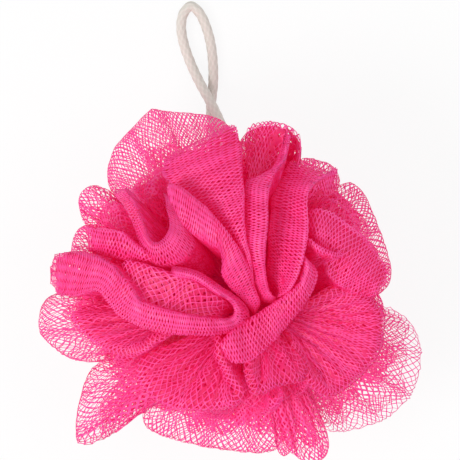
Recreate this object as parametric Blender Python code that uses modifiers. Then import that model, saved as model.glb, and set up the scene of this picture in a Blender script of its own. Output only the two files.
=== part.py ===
"""Mesh bath pouf: a gathered netting ball of ruffles, tied at its waist by a cord with a hanging loop.

The pouf lies on a flat surface at z = 0, as it comes to rest. X runs to the right, Y runs towards the
hanging loop and Z points up, away from the surface. Every ruffle is a thin sheet that fans out from
one of the two bulbs of the tied waist to a rim line on the outside of the ball.
"""

import math

import bmesh
import bpy
from mathutils import Vector, noise

MM = 0.001

# The waist, where the netting is tied
WAIST_X = 9.0
WAIST_Y = -9.0
WAIST_Z = 47.0
WAIST_RADIUS = 7.6
WAIST_HALF_LENGTH = 4.4
BULB_RADIUS = 16.5
BULB_HEIGHT = 14.0
BULB_END = 29.0
FAN_HEIGHT = 14.0
ROOT_RADIUS = 10.5

# The ball of ruffles: the length and width are from rim to rim of its outermost lobes
BALL_LENGTH = 145.0
BALL_WIDTH = 131.0
DOME_RADIUS = 74.0
DOME_RISE = 54.0
DOME_BASE = 46.0
DIMPLE_DEPTH = 12.0
DIMPLE_RADIUS = 16.0
SHEET_THICKNESS = 1.8
ROOT_THICKNESS_SHARE = 0.4
END_DIVE = 0.22
FLOOR_GAP = 0.05
SETTLE_HEIGHT = 3.0
RIPPLE_WAVES = 3.5
WELD_DISTANCE = 0.001

# The cord
CORD_DIAMETER = 4.0
WRAP_TURNS = 2
FIT_GAP = 0.3
WAY_GAP = 0.5
KNOT_WIDTH = 11.0
KNOT_LENGTH = 9.0
KNOT_HEIGHT = 8.0
CORD_ROUTE_POINTS = 60

NETTING_COLOUR = (0.95, 0.03, 0.22, 1.0)
CORD_COLOUR = (0.80, 0.76, 0.70, 1.0)

# Ruffles on the top of the ball, each a band between two lines: name, crown (share of the dome's rise), drop of
# the outer line and bulge between the lines in mm, points of the crest and of the outer line (x, y) in mm
BANDS = (
    ("trough_left", 1.00, 6.0, 1.2,
        ((22, 56), (21, 51), (20, 46), (17, 42), (15, 37), (14, 31), (14, 23), (13, 13), (13, 6),
         (14, -1), (16, -4), (19, -5)),
        ((21, 59), (19, 52), (16, 44), (10, 40), (6, 38), (5, 31), (5, 23), (5, 14), (7, 5), (9, -2),
         (12, -6), (19, -7))),
    ("trough_right", 1.00, 12.0, -1.0,
        ((40, 44), (35, 40), (31, 37), (29, 32), (29, 23), (28, 14), (26, 6), (23, -1), (19, -5)),
        ((27, 49), (22, 46), (19, 40), (16, 34), (16, 27), (15, 19), (15, 12), (14, 4), (16, -3))),
    ("centre_ruffle", 0.98, 10.0, 2.5,
        ((0, 63), (2, 59), (3, 52), (4, 43), (5, 33), (5, 25), (6, 17), (8, 9), (9, 1), (11, -6)),
        ((-22, 53), (-25, 46), (-25, 40), (-18, 33), (-11, 26), (-5, 19), (1, 12), (5, 4), (8, -3),
         (10, -7))),
    ("slant_ruffle", 1.00, 4.0, 1.2,
        ((-27, 37), (-24, 38), (-19, 36), (-14, 32), (-9, 28), (-5, 24), (0, 18), (4, 12), (7, 6),
         (9, -1), (11, -7), (10, -10)),
        ((-27, 34), (-24, 29), (-20, 24), (-14, 19), (-9, 16), (-4, 13), (-3, 9), (-3, 4), (0, -1),
         (4, -5), (7, -9), (9, -13))),
    ("pocket_ruffle", 0.97, 6.0, 1.0,
        ((-28, 37), (-25, 33), (-24, 28), (-23, 23), (-24, 19), (-27, 16), (-30, 16), (-32, 19),
         (-34, 24), (-36, 29), (-39, 34), (-43, 39)),
        ((-24, 36), (-20, 30), (-16, 23), (-14, 16), (-17, 10), (-23, 8), (-29, 8), (-34, 13), (-37, 21),
         (-40, 28), (-44, 33), (-47, 38))),
    ("long_ruffle", 1.00, 4.0, 2.0,
        ((-66, 11), (-59, 12), (-53, 11), (-46, 8), (-41, 3), (-37, -2), (-34, -6), (-29, -8),
         (-23, -10), (-14, -12), (-6, -13), (0, -13), (2, -10), (0, -6), (-5, -3), (-13, 2), (-22, 4),
         (-30, 6)),
        ((-67, 8), (-67, 0), (-59, -4), (-51, -2), (-46, -7), (-43, -11), (-36, -15), (-31, -17),
         (-23, -19), (-14, -19), (-4, -19), (4, -17), (7, -12), (4, -6), (-3, -1), (-12, 5), (-22, 8),
         (-29, 10))),
    ("long_dish", 0.97, 2.0, -1.5,
        ((-34, 6), (-29, 4), (-22, 2), (-13, -2), (-5, -6), (-1, -8)),
        ((-37, -4), (-33, -6), (-27, -9), (-20, -11), (-13, -12), (-6, -13))),
    ("hook_ruffle", 0.99, 3.0, 1.6,
        ((-5, -24), (-2, -20), (3, -16), (9, -12), (15, -8), (21, -4), (26, 1), (28, 8), (29, 14)),
        ((-4, -26), (0, -30), (6, -29), (11, -26), (17, -21), (23, -14), (28, -7), (32, 1), (34, 10))),
    ("top_bowl", 0.90, 12.0, -2.0,
        ((5, 57), (9, 59), (15, 60), (21, 59), (25, 56), (27, 52), (27, 47)),
        ((6, 35), (8, 39), (11, 41), (14, 43), (17, 45), (19, 49), (21, 52))),
    ("left_leaf", 0.92, 5.0, 2.0,
        ((-57, 21), (-47, 20), (-41, 19), (-36, 15), (-30, 11)),
        ((-56, 13), (-48, 11), (-42, 10), (-37, 9), (-31, 8))),
    ("right_top_leaf", 0.95, 7.0, 1.5,
        ((31, 37), (35, 40), (39, 44), (41, 43)),
        ((30, 32), (35, 33), (39, 35), (43, 38))),
    ("right_ruffle", 0.93, 6.0, 3.0,
        ((29, 29), (35, 28), (43, 23), (49, 18), (54, 12), (58, 6), (59, -2)),
        ((30, 20), (32, 12), (35, 7), (38, 2), (43, -2), (49, -5), (54, -8))),
    ("right_pocket", 0.97, 3.0, 0.8,
        ((29, 19), (32, 15), (36, 13), (40, 12), (41, 15)),
        ((30, 15), (32, 12), (36, 10), (41, 10), (44, 14))),
)
BAND_ROOT_SHARE = 0.25
BAND_ROOT_HALF = 1.3
BAND_WALL_SHARE = 0.6
BAND_END_DIVE = 0.35

# Rim lines of the lobes on the top of the ball: name, crown, belly in mm, points (x, y) in mm
UPPER_RUFFLES = (
    ("left_lobe", 0.82, 4.0, ((-24, -18), (-30, -22), (-37, -25), (-45, -25), (-54, -20), (-60, -14), (-64, -8))),
    ("lower_left_lobe", 0.86, 3.5, (
        (-7, -21), (-4, -30), (0, -38), (2, -43), (-5, -47), (-16, -48), (-25, -46), (-34, -39), (-40, -30))),
    ("lower_lobe", 0.84, 3.0, ((5, -32), (8, -41), (13, -42), (20, -38), (27, -37), (31, -33))),
    ("right_lobe", 0.86, 5.0, (
        (26, -36), (31, -39), (38, -43), (44, -40), (50, -35), (56, -27), (58, -17), (57, -10), (50, -2), (43, 1))),
)

# Rim lines of the lobes round the edge: name, belly in mm, points (x, y, z) in mm
EDGE_RUFFLES = (
    ("edge_top_left", 3.0, (
        (-48, 33, 52), (-47, 46, 46), (-38, 57, 42), (-29, 65, 40), (-20, 63, 39), (-7, 64, 40), (2, 61, 43))),
    ("edge_top", 2.0, ((2, 56, 60), (8, 60, 57), (15, 60, 55), (22, 56, 56), (27, 49, 58))),
    ("edge_top_right", 2.0, ((25, 50, 46), (33, 49, 43), (41, 45, 43), (43, 38, 46))),
    ("edge_right", 3.0, (
        (42, 39, 50), (49, 35, 45), (55, 24, 41), (60, 12, 40), (62, 1, 42), (58, -6, 47))),
    ("edge_lower_right", 3.5, (
        (57, -6, 42), (68, -14, 38), (73, -24, 36), (72, -36, 35), (67, -45, 35), (58, -52, 36), (45, -56, 39),
        (37, -56, 43))),
    ("edge_bottom_tab", 0.8, ((37, -55, 49), (36, -63, 46), (30, -66, 45), (25, -63, 46), (22, -57, 47))),
    ("edge_bottom", 3.0, (
        (24, -54, 38), (16, -63, 33), (0, -63, 32), (-15, -61, 33), (-29, -57, 35), (-32, -51, 39))),
    ("edge_corner", 2.0, (
        (-46, -31, 50), (-55, -39, 45), (-58, -50, 41), (-58, -60, 38), (-50, -60, 38), (-40, -54, 40), (-31, -49, 44))),
    ("edge_left", 2.5, (
        (-64, -4, 52), (-71, -10, 46), (-72, -18, 43), (-68, -25, 42), (-60, -30, 42), (-49, -32, 45))),
    ("edge_left_tab", 0.8, ((-54, 23, 58), (-57, 26, 55), (-57, 32, 54), (-53, 36, 55), (-48, 37, 57))),
    ("edge_left_fold", 0.8, ((-62, 8, 58), (-61, 14, 55), (-59, 20, 54), (-54, 24, 56))),
)

# Rings of ruffles round the waist and underneath: name, bulb (+1 upper, -1 lower), count, rim radius, rim height,
# half width in degrees, slant and sway in mm. Each ring is open where the cord leaves the ball.
RUFFLE_RINGS = (
    ("shoulder", 1, 6, 54.0, 62.0, 31.0, 6.0, 3.0),
    ("waist", 1, 7, 55.0, 46.0, 28.0, 6.0, 3.0),
    ("skirt", -1, 8, 54.0, 28.0, 25.0, 6.0, 3.5),
    ("under", -1, 6, 46.0, 12.0, 31.0, 4.0, 3.0),
    ("foot", -1, 3, 36.0, -6.0, 56.0, 2.0, 2.0),
)
CORD_BEARING = 103.0
CORD_WAY = 9.0
RING_SQUASH_Y = 0.93

# The ball is crumpled: all the rims round its side rise and fall together, and the rings are turned unevenly
CRUMPLE_RISE = 9.0
CRUMPLE_WAVES = 4
CRUMPLE_TURN = 9.0
CRUMPLE_FADE = 30.0

# The cord's route in mm, from the knot round the hanging loop and back to the knot
CORD_ROUTE = (
    (11.5, 13.5, 46.0), (9.5, 22.0, 42.0), (6.5, 34.0, 35.0), (2.5, 46.0, 27.0), (-1.8, 56.0, 19.5),
    (-5.2, 64.0, 13.5), (-8.4, 70.5, 9.0), (-11.9, 76.8, 5.2), (-15.3, 84.0, 2.8), (-18.0, 91.5, 2.4),
    (-19.2, 98.2, 2.4), (-18.4, 103.6, 2.4), (-15.4, 106.6, 2.4), (-12.1, 103.9, 2.4), (-9.6, 98.7, 2.4),
    (-7.8, 92.0, 2.4), (-6.9, 84.0, 2.4), (-6.9, 76.5, 2.6), (-7.5, 70.5, 3.4), (-7.6, 64.0, 6.0),
    (-6.0, 55.0, 12.0), (-2.5, 45.0, 20.0), (1.5, 34.0, 29.5), (4.5, 22.0, 39.0), (6.5, 13.5, 46.0),
)


def clear_scene():
    for obj in list(bpy.data.objects):
        bpy.data.objects.remove(obj)


def make_collection(name, parent=None):
    collection = bpy.data.collections.new(name)
    (parent or bpy.context.scene.collection).children.link(collection)
    return collection


def make_material(name, colour, roughness):
    material = bpy.data.materials.new(name)
    material.use_nodes = True
    shader = material.node_tree.nodes["Principled BSDF"]
    shader.inputs["Base Color"].default_value = colour
    shader.inputs["Roughness"].default_value = roughness
    shader.inputs["Metallic"].default_value = 0.0
    material.diffuse_color = colour
    return material


def dome_height(x, y):
    """Height of the top of the ball at (x, y), with its dimple above the tied waist."""
    share = max(0.0, 1.0 - (x * x + y * y) / DOME_RADIUS**2)
    away = math.hypot(x - WAIST_X, y - WAIST_Y) / DIMPLE_RADIUS
    return DOME_BASE + DOME_RISE * math.sqrt(share) - DIMPLE_DEPTH * math.exp(-away * away)


def smooth_line(points, count):
    """count points, evenly spaced along a smooth curve through the given points."""
    points = [Vector(p) for p in points]
    padded = [2 * points[0] - points[1], *points, 2 * points[-1] - points[-2]]
    fine, steps = [], 12
    for a, b, c, d in zip(padded, padded[1:], padded[2:], padded[3:]):
        for k in range(steps):
            u = k / steps
            fine.append(0.5 * (2 * b + (c - a) * u + (2 * a - 5 * b + 4 * c - d) * u**2
                               + (3 * b - a - 3 * c + d) * u**3))
    fine.append(points[-1])
    reached = [0.0]
    for a, b in zip(fine, fine[1:]):
        reached.append(reached[-1] + (b - a).length)
    line, k = [], 0
    for i in range(count):
        at = reached[-1] * i / (count - 1)
        while k < len(fine) - 2 and reached[k + 1] < at:
            k += 1
        line.append(fine[k].lerp(fine[k + 1], (at - reached[k]) / (reached[k + 1] - reached[k])))
    return line


def fan_centre(side):
    """Where the ruffles of the upper (+1) or lower (-1) bulb fan out from."""
    return Vector((WAIST_X, WAIST_Y, WAIST_Z + side * FAN_HEIGHT))


def fan_sheet(line, side, belly, rows):
    """The points of one ruffle, row by row from its root near the waist to its rim line."""
    centre = fan_centre(side)
    rims, normals = [], []
    for i, point in enumerate(line):
        ahead = line[min(i + 1, len(line) - 1)] - line[max(i - 1, 0)]
        normal = ahead.cross(point - centre).normalized()
        if normals and normal.dot(normals[-1]) < 0:
            normal = -normal
        normals.append(normal)
        place = 2 * i / (len(line) - 1) - 1
        rims.append(centre + (point - centre) * (1 - END_DIVE * place**8))
    if sum(normal.z for normal in normals) * side < 0:
        normals = [-normal for normal in normals]
    sheet = []
    for row in range(rows + 1):
        share = row / rows
        points = []
        for rim, normal in zip(rims, normals):
            root = centre + (rim - centre).normalized() * ROOT_RADIUS
            ripple = noise.noise(rim * (RIPPLE_WAVES / DOME_RADIUS) + Vector((0, 0, side * share)))
            lift = belly * (math.sin(math.pi * share) + ripple * share)
            points.append(root.lerp(rim, share) + normal * lift)
        sheet.append(points)
    return sheet


def add_sheet(name, line, side, belly, rows, collection):
    """One ruffle: a grid laid from its root to its rim line, thickened both ways, thinner at its root."""
    mesh = bpy.data.meshes.new(name)
    grid = bmesh.new()
    bmesh.ops.create_grid(grid, x_segments=len(line) - 1, y_segments=rows, size=1.0)
    points = fan_sheet(line, side, belly, rows)
    weights = {}
    for vertex in grid.verts:
        i = round((vertex.co.x + 1) / 2 * (len(line) - 1))
        row = round((vertex.co.y + 1) / 2 * rows)
        weights[vertex.index] = ROOT_THICKNESS_SHARE + (1 - ROOT_THICKNESS_SHARE) * row / rows
        vertex.co = points[row][i] * MM
    grid.to_mesh(mesh)
    grid.free()
    sheet = bpy.data.objects.new(name, mesh)
    collection.objects.link(sheet)
    group = sheet.vertex_groups.new(name="thickness")
    for index, weight in weights.items():
        group.add([index], weight, "REPLACE")
    solidify = sheet.modifiers.new("thickness", "SOLIDIFY")
    solidify.thickness = SHEET_THICKNESS * MM
    solidify.offset = 0.0
    solidify.vertex_group = group.name
    solidify.thickness_vertex_group = 0.0
    return sheet


def add_band(name, crown, drop, bulge, crest, outer, collection):
    """One ruffle of the top as a solid wedge: its band on the ball's top, narrowing down to its root by the waist."""
    waist, up = Vector((WAIST_X, WAIST_Y, WAIST_Z)), Vector((0, 0, 1))
    rings = []
    crest, outer = stretched(crest), stretched(outer)
    for i, ((cx, cy), (ox, oy)) in enumerate(zip(crest, outer)):
        inner = Vector((cx, cy, DOME_BASE + crown * (dome_height(cx, cy) - DOME_BASE)))
        edge = Vector((ox, oy, DOME_BASE + crown * (dome_height(ox, oy) - DOME_BASE) - drop))
        aside = Vector((ox - cx, oy - cy, 0)).normalized()
        root = waist.lerp((inner + edge) / 2, BAND_ROOT_SHARE)
        dive = BAND_END_DIVE * (2 * i / (len(crest) - 1) - 1) ** 10
        inner, edge = inner.lerp(root, dive), edge.lerp(root, dive)
        rings.append((
            root - aside * BAND_ROOT_HALF, root.lerp(inner, BAND_WALL_SHARE) - aside * BAND_ROOT_HALF, inner,
            (inner + edge) / 2 + up * bulge, edge, root.lerp(edge, BAND_WALL_SHARE) + aside * BAND_ROOT_HALF,
            root + aside * BAND_ROOT_HALF))
    around = len(rings[0])
    mesh = bpy.data.meshes.new(name)
    grid = bmesh.new()
    bmesh.ops.create_grid(grid, x_segments=len(rings) - 1, y_segments=around, size=1.0)
    for vertex in grid.verts:
        i = round((vertex.co.x + 1) / 2 * (len(rings) - 1))
        k = round((vertex.co.y + 1) / 2 * around) % around
        vertex.co = rings[i][k] * MM
    bmesh.ops.remove_doubles(grid, verts=grid.verts, dist=WELD_DISTANCE * MM)
    bmesh.ops.holes_fill(grid, edges=[edge for edge in grid.edges if edge.is_boundary], sides=0)
    bmesh.ops.triangulate(grid, faces=grid.faces)
    bmesh.ops.recalc_face_normals(grid, faces=grid.faces)
    grid.to_mesh(mesh)
    grid.free()
    band = bpy.data.objects.new(name, mesh)
    collection.objects.link(band)
    return band


def add_bulbs(collection):
    """The tied waist of the netting: a turned hourglass with a groove for the cord's wrap."""
    side = (
        (0.0, BULB_END), (5.0, BULB_END - 1.0), (9.5, BULB_END - 4.0), (BULB_RADIUS, BULB_HEIGHT),
        (BULB_RADIUS - 1.0, 8.5), (WAIST_RADIUS + 1.5, 5.6), (WAIST_RADIUS, WAIST_HALF_LENGTH),
    )
    profile = list(side) + [(radius, -height) for radius, height in reversed(side)]
    mesh = bpy.data.meshes.new("netting")
    outline = bmesh.new()
    verts = [outline.verts.new((r * MM, 0, h * MM)) for r, h in profile]
    for a, b in zip(verts, verts[1:]):
        outline.edges.new((a, b))
    outline.to_mesh(mesh)
    outline.free()
    bulbs = bpy.data.objects.new("netting", mesh)
    bulbs.location = Vector((WAIST_X, WAIST_Y, WAIST_Z)) * MM
    collection.objects.link(bulbs)
    turn = bulbs.modifiers.new("turned", "SCREW")
    turn.steps = turn.render_steps = 24
    turn.use_merge_vertices = True
    turn.merge_threshold = 0.0001
    return bulbs


def settle(sheets):
    """Presses the low rims up towards the surface that the soft ball lies on, so that it has a flat spot."""
    lowest = (SHEET_THICKNESS / 2 + FLOOR_GAP) * MM
    soft = SETTLE_HEIGHT * MM
    for sheet in sheets:
        for vertex in sheet.data.vertices:
            if vertex.co.z < lowest + soft:
                vertex.co.z = lowest + soft * math.exp((vertex.co.z - lowest - soft) / soft)


def shells(mesh):
    """The separate closed shells of a mesh, each as its list of faces."""
    left = set(mesh.faces)
    while left:
        shell, edge = [], [left.pop()]
        while edge:
            face = edge.pop()
            shell.append(face)
            for side in face.edges:
                for other in side.link_faces if len(side.link_faces) == 2 else ():
                    if other in left:
                        left.remove(other)
                        edge.append(other)
        yield shell


def shell_volume(faces):
    total = 0.0
    for face in faces:
        first = face.verts[0].co
        for a, b in zip(face.verts[1:], face.verts[2:]):
            total += first.dot(a.co.cross(b.co)) / 6
    return total


def fill_pockets(obj):
    """Makes the joined solid final and fills the sealed pockets between ruffles that touch."""
    bpy.context.view_layer.update()
    depsgraph = bpy.context.evaluated_depsgraph_get()
    whole = bpy.data.meshes.new_from_object(obj.evaluated_get(depsgraph), depsgraph=depsgraph)
    mesh = bmesh.new()
    mesh.from_mesh(whole)
    for shell in sorted(shells(mesh), key=shell_volume)[:-1]:
        bmesh.ops.delete(mesh, geom=shell, context="FACES")
    for face in mesh.faces:
        face.material_index = 0
    mesh.to_mesh(whole)
    mesh.free()
    whole.materials.clear()
    obj.modifiers.clear()
    obj.data = whole
    return obj


def ball_stretch():
    """How far the rim points move out or in for the outermost lobes to reach the ball's length and width."""
    rims = [point for _, _, points in EDGE_RUFFLES for point in points]
    across = [max(point[axis] for point in rims) - min(point[axis] for point in rims) for axis in (0, 1)]
    return BALL_LENGTH / across[0], BALL_WIDTH / across[1]


def stretched(points):
    along, aside = ball_stretch()
    return [(point[0] * along, point[1] * aside, *point[2:]) for point in points]


def upper_line(points, crown, count):
    line = smooth_line([(x, y, 0) for x, y in stretched(points)], count)
    for point in line:
        point.z = DOME_BASE + crown * (dome_height(point.x, point.y) - DOME_BASE)
    return line


def crumpled(point):
    """The place a rim point on the ball's side moves to when the ball is crumpled."""
    bearing = math.atan2(point.y, point.x)
    fade = min(1.0, max(0.0, point.z / CRUMPLE_FADE))
    rise = CRUMPLE_RISE * (math.sin(CRUMPLE_WAVES * bearing + 0.5) + 0.5 * math.sin(3 * bearing + 2.0)) / 1.5
    return point + Vector((0, 0, rise * fade))


def ring_line(bearing, k, radius, height, half_width, slant, sway, count):
    """The rim line of one ruffle of a ring: an arc that slants across and sways in and out."""
    turn = 2.4 * k
    points = []
    for i in range(count):
        across = 2 * i / (count - 1) - 1
        angle = math.radians(bearing + across * half_width)
        angle += math.radians(CRUMPLE_TURN) * math.sin(2 * angle + 0.8)
        reach = radius * (1 - 0.14 * across**2) + sway * math.sin(turn + 3.2 * across)
        rise = slant * (across + 0.35 * math.sin(turn + 4.0 * across))
        points.append((reach * math.cos(angle), reach * math.sin(angle) * RING_SQUASH_Y, height + rise))
    return [crumpled(Vector(point)) for point in stretched(points)]


def add_netting(parts, sheets, ways):
    """The whole gathered netting as one solid: the tied waist and every ruffle joined to it."""
    made = []
    for name, crown, drop, bulge, crest, outer in BANDS:
        add_band(name, crown, drop, bulge, crest, outer, sheets)
    for name, crown, belly, points in UPPER_RUFFLES:
        line = upper_line(points, crown, len(points))
        made.append(add_sheet(name, line, 1, belly, 2, sheets))
    for name, belly, points in EDGE_RUFFLES:
        line = [crumpled(point) for point in smooth_line(stretched(points), len(points) + 1)]
        made.append(add_sheet(name, line, 1, belly, 2, sheets))
    for name, side, count, radius, height, half_width, slant, sway in RUFFLE_RINGS:
        first = CORD_BEARING + CORD_WAY + half_width
        step = (360.0 - 2 * (CORD_WAY + half_width)) / (count - 1)
        for k in range(round(count)):
            line = ring_line(first + step * k, k, radius, height, half_width, slant, sway, 5)
            made.append(add_sheet(f"{name}_{k + 1}", line, side, sway, 2, sheets))
    settle(made)
    netting = add_bulbs(parts)
    join = netting.modifiers.new("ruffles", "BOOLEAN")
    join.operation = "UNION"
    join.operand_type = "COLLECTION"
    join.collection = sheets
    join.solver = "MANIFOLD"
    clear = netting.modifiers.new("cord_ways", "BOOLEAN")
    clear.operation = "DIFFERENCE"
    clear.operand_type = "COLLECTION"
    clear.collection = ways
    clear.solver = "MANIFOLD"
    return fill_pockets(netting)


def add_wrap(parts, name="waist_wrap", grow=0.0):
    """The cord's turns round the waist, as one turned ring. grow makes it the room that the netting leaves."""
    inner = WAIST_RADIUS + FIT_GAP - grow
    half = CORD_DIAMETER * WRAP_TURNS / 2 + grow
    round_off = CORD_DIAMETER / 4
    outer = inner + CORD_DIAMETER + 2 * grow
    profile = (
        (inner, half - round_off), (inner + round_off, half), (outer - round_off, half), (outer, half - round_off),
        (outer, round_off - half), (outer - round_off, -half), (inner + round_off, -half), (inner, round_off - half),
    )
    mesh = bpy.data.meshes.new(name)
    outline = bmesh.new()
    verts = [outline.verts.new((r * MM, 0, h * MM)) for r, h in profile]
    for a, b in zip(verts, verts[1:] + verts[:1]):
        outline.edges.new((a, b))
    outline.to_mesh(mesh)
    outline.free()
    wrap = bpy.data.objects.new(name, mesh)
    wrap.location = Vector((WAIST_X, WAIST_Y, WAIST_Z)) * MM
    parts.objects.link(wrap)
    turn = wrap.modifiers.new("turned", "SCREW")
    turn.steps = turn.render_steps = 24
    turn.use_merge_vertices = True
    turn.merge_threshold = 0.0001
    return wrap


def add_knot(parts, name="cord_knot", grow=0.0):
    """The knot that closes the cord: a rounded lump against the wrap, on the side of the loop."""
    mesh = bpy.data.meshes.new(name)
    lump = bmesh.new()
    bmesh.ops.create_uvsphere(lump, u_segments=12, v_segments=8, radius=0.5)
    size = Vector((KNOT_WIDTH + 2 * grow, KNOT_LENGTH + 2 * grow, KNOT_HEIGHT + 2 * grow))
    bmesh.ops.scale(lump, vec=size * MM, verts=lump.verts)
    lump.to_mesh(mesh)
    lump.free()
    knot = bpy.data.objects.new(name, mesh)
    wrap_outer = WAIST_RADIUS + FIT_GAP + CORD_DIAMETER
    knot.location = Vector((WAIST_X, WAIST_Y + wrap_outer + FIT_GAP + KNOT_LENGTH / 2, WAIST_Z)) * MM
    parts.objects.link(knot)
    return knot


def add_cord(parts, name="hanging_cord", grow=0.0):
    """The hanging loop: both its legs leave the knot and it lies on the surface beyond the ball."""
    curve = bpy.data.curves.new(name, "CURVE")
    curve.dimensions = "3D"
    curve.bevel_depth = (CORD_DIAMETER / 2 + grow) * MM
    curve.bevel_resolution = 2
    curve.use_fill_caps = True
    line = smooth_line(CORD_ROUTE, CORD_ROUTE_POINTS)
    spline = curve.splines.new("POLY")
    spline.points.add(len(line) - 1)
    for point, place in zip(spline.points, line):
        point.co = (*(place * MM), 1.0)
    cord = bpy.data.objects.new(name, curve)
    parts.objects.link(cord)
    return cord


def as_mesh(obj):
    """A curve object made a closed mesh object, so that it can cut."""
    bpy.context.view_layer.update()
    depsgraph = bpy.context.evaluated_depsgraph_get()
    mesh = bpy.data.meshes.new_from_object(obj.evaluated_get(depsgraph), depsgraph=depsgraph)
    solid = bmesh.new()
    solid.from_mesh(mesh)
    bmesh.ops.remove_doubles(solid, verts=solid.verts, dist=WELD_DISTANCE * MM)
    solid.to_mesh(mesh)
    solid.free()
    made = bpy.data.objects.new(obj.name + "_solid", mesh)
    made.matrix_world = obj.matrix_world
    obj.users_collection[0].objects.link(made)
    bpy.data.objects.remove(obj)
    return made


def add_ways(ways):
    """The room that the netting leaves for the cord, its knot and its turns round the waist."""
    add_wrap(ways, "wrap_way", FIT_GAP)
    add_knot(ways, "knot_way", FIT_GAP)
    as_mesh(add_cord(ways, "cord_way", WAY_GAP))


def stand_at_origin(netting, objects):
    """Moves everything so that the origin is under the middle of the netting's box, on the surface."""
    places = [netting.matrix_world @ vertex.co for vertex in netting.data.vertices]
    low = Vector([min(place[k] for place in places) for k in range(3)])
    high = Vector([max(place[k] for place in places) for k in range(3)])
    for obj in objects:
        obj.location -= Vector(((low.x + high.x) / 2, (low.y + high.y) / 2, low.z))


def main():
    clear_scene()
    parts = make_collection("mesh_bath_pouf")
    sheets = make_collection("ruffle_sheets")
    ways = make_collection("cord_ways")
    netting_material = make_material("pink_netting", NETTING_COLOUR, 0.45)
    cord_material = make_material("white_cord", CORD_COLOUR, 0.85)
    add_ways(ways)
    netting = add_netting(parts, sheets, ways)
    for guide in [*sheets.objects, *ways.objects]:
        guide.hide_render = True
        guide.display_type = "WIRE"
    netting.data.materials.append(netting_material)
    for made in (add_wrap(parts), add_knot(parts), add_cord(parts)):
        made.data.materials.append(cord_material)
    stand_at_origin(netting, [*parts.objects, *sheets.objects, *ways.objects])


main()
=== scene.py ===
"""Mesh bath pouf: a ball of gathered knitted net, tied round its waist by a braided cord with a hanging loop.

The pouf lies on a white floor and the camera looks straight down at it. All lengths are in millimetres
until they are put in a mesh, apart from those of the lamps and the camera, which are in metres.
"""

import math

import bmesh
import bpy
import numpy as np
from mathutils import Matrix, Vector


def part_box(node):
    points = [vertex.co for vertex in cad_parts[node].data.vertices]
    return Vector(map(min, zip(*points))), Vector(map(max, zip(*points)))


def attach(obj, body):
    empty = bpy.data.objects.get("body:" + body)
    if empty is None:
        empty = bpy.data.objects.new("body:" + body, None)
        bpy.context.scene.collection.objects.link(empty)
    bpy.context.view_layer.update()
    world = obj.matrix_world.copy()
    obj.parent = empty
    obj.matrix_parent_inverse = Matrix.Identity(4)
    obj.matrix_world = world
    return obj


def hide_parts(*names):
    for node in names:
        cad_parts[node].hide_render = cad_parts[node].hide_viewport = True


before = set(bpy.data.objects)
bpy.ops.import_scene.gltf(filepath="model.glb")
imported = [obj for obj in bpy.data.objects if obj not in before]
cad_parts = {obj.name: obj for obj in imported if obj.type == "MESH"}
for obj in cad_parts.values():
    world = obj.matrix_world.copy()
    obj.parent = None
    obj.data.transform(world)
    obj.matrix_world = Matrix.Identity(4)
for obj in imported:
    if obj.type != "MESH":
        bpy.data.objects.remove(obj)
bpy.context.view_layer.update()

MM = 0.001

# The ball, as in the model's source
SHIFT = np.array([-0.72, 0.23, -0.18])
LEAST_HEIGHT = 0.3
WAIST = np.array([9.0, -9.0, 47.0])
FAN_HEIGHT = 14.0
DOME_RADIUS = 74.0
DOME_RISE = 54.0
DOME_BASE = 46.0
DIMPLE_DEPTH = 12.0
DIMPLE_RADIUS = 16.0
END_DIVE = 0.12
CRUMPLE_RISE = 9.0
CRUMPLE_WAVES = 4
CRUMPLE_TURN = 9.0
CRUMPLE_FADE = 30.0
CORD_BEARING = 103.0
CORD_WAY = 9.0
RING_SQUASH_Y = 0.93

# The net's strands and the holes between them. Near a sharp fold, as far as EDGE_REACH, a hole takes EDGE_MOST of its
# cell at most. Elsewhere its limit changes from the rim's to the root's over FADE_SHARE of the way
STRAND_WIDTH = 0.36
STRAND_DEPTH = 0.16
LEAST_HOLE = 0.42
CLOSED_CELL = 0.34
EDGE_REACH = 0.9
EDGE_MOST = 0.5
FADE_SHARE = 0.45
LEAST_COLUMNS = 6

# How uneven the knitting is: how far its lines wander, then how slowly that changes along and across. It is calmer in
# the RIM_ROWS rows round a rim
STRAND_SHIFT = 0.15
RIM_SHIFT = 0.4
RIM_ROWS = 4
ALONG_UNEVEN = (0.6, 3.1)
ACROSS_UNEVEN = (0.8, 7.0, 9.0)
SWAY_WAVES = (6.5, 2.6)

# The slow drift of the whole ball: each wave's direction, what it pushes and where it starts
DRIFT = (0.4, 0.4, 1.0)
DRIFT_WAVES = (
    ((0.050, 0.021, 0.037), (0.9, -0.5, 0.7), 0.3),
    ((-0.033, 0.061, 0.029), (0.6, 0.8, -0.8), 1.9),
    ((0.083, -0.071, 0.045), (-0.5, 0.5, 0.6), 4.0),
    ((0.021, 0.112, -0.093), (0.4, -0.4, 0.5), 2.7),
)

# How folds and ruffles are laid: their roots, their gathers, and a ruffle's walls and rounded edges
EDGE_ROOT = 26.0
LOBE_ROOT = 14.0
ROOT_SHARE = 0.55
GATHER_PITCH = 8.0
GATHER_DEPTH = 0.9
LAYER_GAP = 0.4
WALL_SHARE = 0.62
EDGE_ROUND = 0.4
UNDERCUT = 1.8

# How finely lines are drawn
CURVE_STEPS = 24
RUFFLE_COLUMNS = 120
SECTION_STEPS = 120
LOBE_POINTS = 160
EDGE_POINTS = 120
RING_POINTS = 80
SIDE_POINTS = 60
CORD_POINTS = 480
WRAP_POINTS = 160
KNOT_POINTS = 150

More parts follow.
